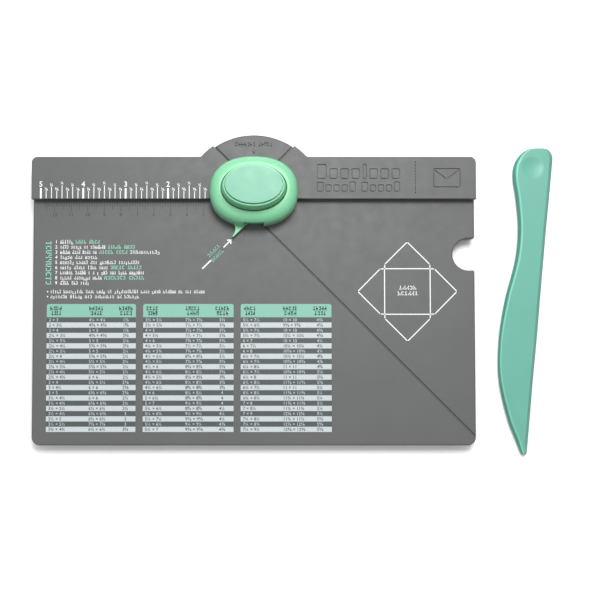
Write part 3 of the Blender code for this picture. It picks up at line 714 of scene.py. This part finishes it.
class Print:
    """Flat ink shapes on one surface, gathered into one piece."""

    def __init__(self, name, material, surface, layer=0):
        self.name, self.material = name, material
        self.bottom = surface - 0.01 + layer * INK
        self.top = surface + INK + layer * INK
        self.bm = bmesh.new()

    def shape(self, outline):
        prism(self.bm, outline, self.bottom, self.top)

    def bar(self, x0, x1, y0, y1):
        self.shape([(x0, y0), (x1, y0), (x1, y1), (x0, y1)])

    def line(self, start, end, width):
        along_line = (Vector(end) - Vector(start)).normalized() * width / 2
        side = Vector((-along_line.y, along_line.x))
        corners = [(start, -1, -1), (end, 1, -1), (end, 1, 1), (start, -1, 1)]
        points = [Vector(p) + along_line * k + side * s for p, k, s in corners]
        self.shape([tuple(p) for p in points])

    def numerals(self, text, x, y, height, align="CENTER", bold=0.0):
        """Numbers in Blender's own font, with y at half of their height."""
        curve = bpy.data.curves.new("numerals", "FONT")
        curve.body = text
        curve.align_x = align
        curve.size = height / DIGIT_HEIGHT
        curve.resolution_u = 2
        curve.offset = bold
        curve.extrude = (self.top - self.bottom) / 2
        obj = bpy.data.objects.new("numerals", curve)
        bpy.context.scene.collection.objects.link(obj)
        bpy.context.view_layer.update()
        evaluated = obj.evaluated_get(bpy.context.evaluated_depsgraph_get())
        mesh = bpy.data.meshes.new_from_object(evaluated)
        mesh.transform(Matrix.Translation((x, y - height / 2, (self.top + self.bottom) / 2)))
        self.bm.from_mesh(mesh)
        bpy.data.objects.remove(obj, do_unlink=True)
        bpy.data.curves.remove(curve)
        bpy.data.meshes.remove(mesh)

    def mark(self, place, width, height, stroke, kind):
        """One sign in the place of a letter: one to four thin strokes in a cell, no real letter.
        place turns a point of the cell into the board's."""
        low, middle, high = stroke / 2, height / 2, height - stroke / 2
        left, right = stroke / 2, width - stroke / 2
        strokes = [
            [
                ((left, 0), (left, height)),
                ((left, middle), (right, middle)),
                ((right, 0), (right, middle)),
            ],
            [((left, 0), (left, height)), ((left, high), (right, high)), ((left, low), (right, low))],
            [((left, high), (right, high)), ((right, 0), (right, height)), ((left, low), (right, low))],
            [((width / 2, 0), (width / 2, height)), ((left, low), (right, low))],
            [((left, 0), (left, height)), ((right, 0), (right, height)), ((left, high), (right, high))],
            [
                ((left, middle), (right, middle)),
                ((right, 0), (right, height)),
                ((left, low), (left, middle)),
            ],
            [((width / 2, 0), (width / 2, height))],
        ][kind]
        for start, end in strokes:
            self.line(place(start), place(end), stroke)

    def words(self, lengths, x0, x1, y, height, stroke, capitals=False, angle=0.0):
        """Lines of plain signs in the place of words, from x0 to x1, with y at their foot. An angle
        turns them about their left end."""
        turn = Matrix.Rotation(math.radians(angle), 2)
        pitch = (x1 - x0) / (sum(lengths) + len(lengths) - 1)
        cell = 0
        for length in lengths:
            for _ in range(length):
                kind = SIGNS.choice((0, 1, 2, 3, 4, 5) if capitals else (0, 2, 4, 5, 6))
                tall = capitals or SIGNS.random() < 0.3
                drop = -0.24 * height if not tall and SIGNS.random() < 0.12 else 0.0
                corner = Vector((cell * pitch + 0.1 * pitch, drop))
                place = lambda point, corner=corner: Vector((x0, y)) + turn @ (corner + Vector(point))
                self.mark(place, 0.74 * pitch, height if tall else 0.76 * height, stroke, kind)
                cell += 1
            cell += 1

    def done(self):
        finish_piece(self.bm, self.name, self.material)


SIGNS = random.Random(7)
FRACTIONS = ["", "⅛", "¼", "⅜", "½", "⅝", "¾", "⅞"]


def inch_ruler():
    """Inches on the fence, in eighths, counted to the left from the punch's centre."""
    ruler = Print("inch_ruler", WHITE_INK, FENCE_TOP)
    inch, shift, foot = 25.4, -0.6, 0.25
    nearest = -29  # the punch hides the marks past this
    for eighth in range(9, 41):
        x = shift - eighth * inch / 8
        part = eighth % 8
        if x > nearest:
            continue
        if part == 0:
            ruler.bar(x - 0.55, x + 0.55, foot, 6.55)
            ruler.numerals(str(eighth // 8), x, 8.95, 3.1, bold=0.05)
            continue
        height = 8.15 if part == 4 else 7.4 if part % 2 == 0 else 4.75
        ruler.bar(x - 0.22, x + 0.22, foot, height)
        ruler.numerals(FRACTIONS[part], x, height + (1.5 if part == 4 else 1.1), 1.6, bold=0.035)
    ruler.done()


def centimetre_ruler():
    """Centimetres on the deck under the fence's edge, in millimetres."""
    ruler = Print("centimetre_ruler", DARK_INK, DECK_TOP)
    for millimetre in range(29, 127):
        x = -0.4 - millimetre
        depth = 7.15 if millimetre % 10 == 0 else 5.6 if millimetre % 5 == 0 else 3.8
        ruler.bar(x - 0.18, x + 0.18, -depth, -0.3)
        if millimetre % 10 == 0:
            ruler.numerals(str(millimetre // 10), x, -8.75, 2.1, bold=0.05)
    ruler.done()


def directions():
    """The numbered lines on the left, each a number and plain marks for its words."""
    white = Print("directions_white", WHITE_INK, DECK_TOP)
    green = Print("directions_green", GREEN_INK, DECK_TOP)
    left = -117.0
    lines = [
        [(white, [6], left, -109.0), (green, [4, 4], -107.7, -92.9)],
        [(white, [4, 5, 2, 7], left, -89.5), (green, [5, 4], -88.2, -71.7)],
        [(white, [5, 4, 4, 2], left, -94.8), (green, [5, 4], -93.5, -76.1), (white, [11], -74.8, -56.6)],
        [(white, [5, 3, 5], left, -94.3)],
        [(white, [6, 5, 3, 7, 9], left, -69.0)],
        [(white, [5, 5, 4, 4], left, -87.9), (green, [5, 5], -86.6, -67.6)],
        [(white, [6, 5, 1, 1, 1, 3, 3, 4, 7], left, -66.0)],
        [(white, [5, 7, 4], left, -91.6), (green, [7, 5], -90.3, -66.0)],
        [(white, [4, 3, 4], left, -99.2)],
    ]
    height = 1.95
    for row, parts in enumerate(lines):
        y = -25.2 - row * 3.11
        white.numerals(str(row + 1), -119.2, y, height, bold=0.03)
        for ink, lengths, x0, x1 in parts:
            ink.words(lengths, x0, x1, y - height / 2, height, 0.37, capitals=ink is green)
    below = [([5, 9, 4, 4, 2, 11, 4, 4, 6, 2, 3, 5], -29.5), ([7, 5, 3, 8, 2, 6], -69.1)]
    for row, (lengths, x1) in enumerate(below):
        y = -55.33 - row * 3.02
        white.shape(arc(-124.3, y, 0.42, 0, 330, 11))
        white.words(lengths, -122.8, x1, y - 0.9, 1.85, 0.34)
    green.words([10], -122.3, -95.6, -51.3, 3.1, 0.5, capitals=True, angle=90)
    white.done()
    green.done()


def score_arrow():
    """The arrow to the pointer's tip, at 45 degrees, with two lines of marks beside it."""
    arrow = Print("score_arrow", WHITE_INK, DECK_TOP)
    arrow.line((-30.8, -41.2), (-25.95, -36.5), 0.85)
    x, y, arm, bar, inner = -13.5, -23.8, 2.7, 0.75, 1.32
    end_x, end_y, half = -18.3, -28.6, 0.285
    outline = [(x, y), (x - arm, y), (x - arm, y - bar), (x - inner, y - bar)]
    outline += [(end_x - half, end_y + half), (end_x + half, end_y - half)]
    outline += [(x - bar, y - inner), (x - bar, y - arm), (x, y - arm)]
    arrow.shape(outline)
    arrow.done()
    label = Print("score_label", MINT_INK, DECK_TOP)
    label.words([5], -26.9, -17.3, -34.7, 1.9, 0.42, capitals=True, angle=45)
    label.words([5], -24.8, -15.2, -37.6, 1.9, 0.42, capitals=True, angle=45)
    label.done()


def envelope_diagram():
    """A square with a flap on each side, as the folded envelope opens out."""
    lines = Print("envelope_diagram", WHITE_INK, DECK_TOP)
    x, y, half, tip, width = 92.6, -55.25, 13.75, 29.9, 0.6
    side, shoulder = half - 0.2, half + 2.7
    flap = [(-half, half), (-side, shoulder), (0, tip), (side, shoulder), (half, half)]
    for quarter in range(4):
        turn = Matrix.Rotation(math.radians(90 * quarter), 2)
        points = [turn @ Vector(p) + Vector((x, y)) for p in flap]
        for start, end in zip(points, points[1:]):
            lines.line(start, end, width)
        lines.line(points[0], points[-1], width)
    lines.words([5], x - 5.2, x + 5.6, y + 1.2, 2.1, 0.42, capitals=True)
    lines.words([6], x - 6.0, x + 6.4, y - 2.2, 2.1, 0.42, capitals=True)
    lines.done()


def eighths(value):
    """A length in inches as text, with its eighths as a fraction."""
    whole, part = divmod(round(value * 8), 8)
    return str(whole) + FRACTIONS[part]


def envelope_sizes(row):
    """Card size, paper size and score line for one row of the tables, worked out as the
    board's geometry gives them."""
    width = 2 + 0.25 * (row // 3)
    height = width + 1 + 0.5 * (row % 3)
    paper = (width + height) / math.sqrt(2) + 0.75
    score = width / math.sqrt(2) + 0.5
    return f"{eighths(width)} × {eighths(height)}", f"{eighths(paper)} × {eighths(paper)}", eighths(score)


def tables():
    """Three tables of sizes: a mint header and striped rows."""
    rows, row_height = 22, 3.125
    header_top, header_bottom = -62.8, -70.8
    height = 1.85
    headers = Print("table_headers", MINT_INK, DECK_TOP)
    pale_rows = Print("table_pale_rows", PALE_INK, DECK_TOP)
    dark_rows = Print("table_dark_rows", SHADE_INK, DECK_TOP)
    titles = Print("table_titles", DEEP_GREEN_INK, DECK_TOP, layer=1)
    on_pale = Print("table_numbers_dark", DARK_INK, DECK_TOP, layer=1)
    on_dark = Print("table_numbers_white", PALE_INK, DECK_TOP, layer=1)
    for table, (left, right) in enumerate(((-124.66, -71.0), (-66.63, -12.15), (-7.88, 46.78))):
        corners = arc(right - 1.2, header_top - 1.2, 1.2, 0, 90, 5)
        corners += arc(left + 1.2, header_top - 1.2, 1.2, 90, 180, 5)
        headers.shape([(left, header_bottom), (right, header_bottom)] + corners)
        for x0, x1, above, under in ((1.9, 9.2, 4, 4), (25.4, 34.2, 5, 4), (43.4, 51.9, 5, 4)):
            titles.words([above], left + x0, left + x1, header_top - 3.7, 2.1, 0.55, capitals=True)
            titles.words([under], left + x0 + 0.8, left + x1 - 0.4, header_top - 6.6, 2.1, 0.55, True)
        for row in range(rows):
            y = header_bottom - (row + 0.5) * row_height
            pale = row % 2 == 1
            (pale_rows if pale else dark_rows).bar(left, right, y - row_height / 2, y + row_height / 2)
            card, paper, score = envelope_sizes(table * rows + row)
            ink = on_pale if pale else on_dark
            bold = 0.035 if pale else 0.0
            ink.numerals(card, left + 1.3, y, height, "LEFT", bold)
            ink.numerals(paper, left + 25.4, y, height, "LEFT", bold)
            ink.numerals(score, left + 47.6, y, height, "CENTER", bold)
    for each in (headers, pale_rows, dark_rows, titles, on_pale, on_dark):
        each.done()


def dome_label():
    """Dark marks and a small arrow behind the punch, where a corner goes in to be rounded."""
    label = Print("dome_label", DARK_INK, DECK_TOP)
    label.words([7, 5], -11.2, 11.4, 33.0, 2.2, 0.55, capitals=True)
    label.line((0, 32.1), (0, 29.0), 0.5)
    label.line((0, 28.7), (-1.4, 30.3), 0.5)
    label.line((0, 28.7), (1.4, 30.3), 0.5)
    label.done()


# Return springs


def springs():
    """The CAD's return springs again, as zinc pieces of their own."""
    for name in ("return_spring_left", "return_spring_right"):
        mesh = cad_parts[name].data.copy()
        mesh.materials.clear()
        mesh.materials.append(ZINC)
        obj = bpy.data.objects.new(name + "_coil", mesh)
        bpy.context.scene.collection.objects.link(obj)
        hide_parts(name)
        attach(obj, "board")
        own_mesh(obj)


# CAD nodes that are shown as they are

REPLACED = {
    "deck",
    "fence_left",
    "fence_right",
    "punch_housing",
    "button_cap",
    "button_inlay",
    "return_spring_left",
    "return_spring_right",
    "scoring_tool",
}


def dress_nodes():
    """Materials for the CAD nodes that stay."""
    named = {"bottom_cover": GREY, "punch_bed": GREY, "plunger": GREY}
    shown = [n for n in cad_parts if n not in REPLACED]
    for name in shown:
        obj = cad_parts[name]
        material = named.get(name, STEEL)
        if name.startswith("foot"):
            material = RUBBER
        elif "screw" in name or "spring" in name:
            material = ZINC
        obj.data.materials.clear()
        obj.data.materials.append(material)


# Stage


def area_light(name, location, size, power):
    """A white lamp that points at the set's middle."""
    light = bpy.data.lights.new(name, "AREA")
    light.shape = "RECTANGLE"
    light.size, light.size_y = size
    light.energy = power
    obj = bpy.data.objects.new(name, light)
    bpy.context.scene.collection.objects.link(obj)
    obj.location = location
    obj.rotation_euler = (-Vector(location)).to_track_quat("-Z", "Y").to_euler()


def stage():
    """The white floor and the lights."""
    floor_mesh = bpy.data.meshes.new("floor")
    size = 3.0
    corners = [(-size, -size, 0), (size, -size, 0), (size, size, 0), (-size, size, 0)]
    floor_mesh.from_pydata(corners, [], [(0, 1, 2, 3)])
    floor = bpy.data.objects.new("floor", floor_mesh)
    bpy.context.scene.collection.objects.link(floor)
    material, nodes, links = new_material("floor_paper")
    shader = nodes["Principled BSDF"]
    stops = [(0.3, (0.93, 0.93, 0.93)), (0.7, (0.95, 0.95, 0.95))]
    links.new(ramp(nodes, links, noise(nodes, links, 2.0), stops), shader.inputs["Base Color"])
    shader.inputs["Roughness"].default_value = 0.9
    floor_mesh.materials.append(material)

    sky()
    area_light("key", (0.05, 0.37, 0.9), (0.3, 0.3), 7.4)
    area_light("left", (-0.7, -0.35, 0.75), (0.3, 0.6), 1.2)
    area_light("right", (0.75, -0.4, 0.7), (0.3, 0.6), 0.6)
    bpy.context.scene.view_settings.view_transform = "Standard"


def sky():
    """A studio around the table: bright overhead and behind, dim at the sides and in front."""
    world = bpy.data.worlds.new("studio")
    world.use_nodes = True
    bpy.context.scene.world = world
    nodes, links = world.node_tree.nodes, world.node_tree.links
    coordinates = nodes.new("ShaderNodeTexCoord")
    upwards = nodes.new("ShaderNodeVectorMath")
    upwards.operation = "DOT_PRODUCT"
    upwards.inputs[1].default_value = (0, 0.6, 0.8)
    strength = nodes.new("ShaderNodeMapRange")
    strength.inputs["From Min"].default_value = 0.1
    strength.inputs["From Max"].default_value = 0.95
    strength.inputs["To Min"].default_value = 0.1
    strength.inputs["To Max"].default_value = 1.0
    links.new(coordinates.outputs["Generated"], upwards.inputs[0])
    links.new(upwards.outputs["Value"], strength.inputs["Value"])
    links.new(strength.outputs["Result"], nodes["Background"].inputs["Strength"])
    nodes["Background"].inputs["Color"].default_value = (1, 1, 1, 1)


def camera():
    """Looks almost straight down, a little in front of the board's middle."""
    height = 0.55 + DECK_TOP * METRES
    below = BOARD_ORIGIN + Vector((0, -0.0813, 0))
    target = BOARD_ORIGIN + Vector((0, -0.0604, 0))
    data = bpy.data.cameras.new("camera")
    data.sensor_width = 36
    data.lens = 54.8
    data.shift_x = 0.077
    data.clip_start = 0.01
    obj = bpy.data.objects.new("camera", data)
    bpy.context.scene.collection.objects.link(obj)
    obj.location = (below.x, below.y, height)
    tilt = math.atan2(target.y - below.y, height - DECK_TOP * METRES)
    obj.rotation_euler = (tilt, 0, 0)
    bpy.context.scene.camera = obj


# Everything

camera()
stage()
deck()
fence("fence_left", -1)
fence("fence_right", 1)
housing()
button()
inlay()
scoring_tool()
inch_ruler()
centimetre_ruler()
directions()
score_arrow()
envelope_diagram()
tables()
dome_label()
springs()
dress_nodes()

bpy.context.view_layer.update()
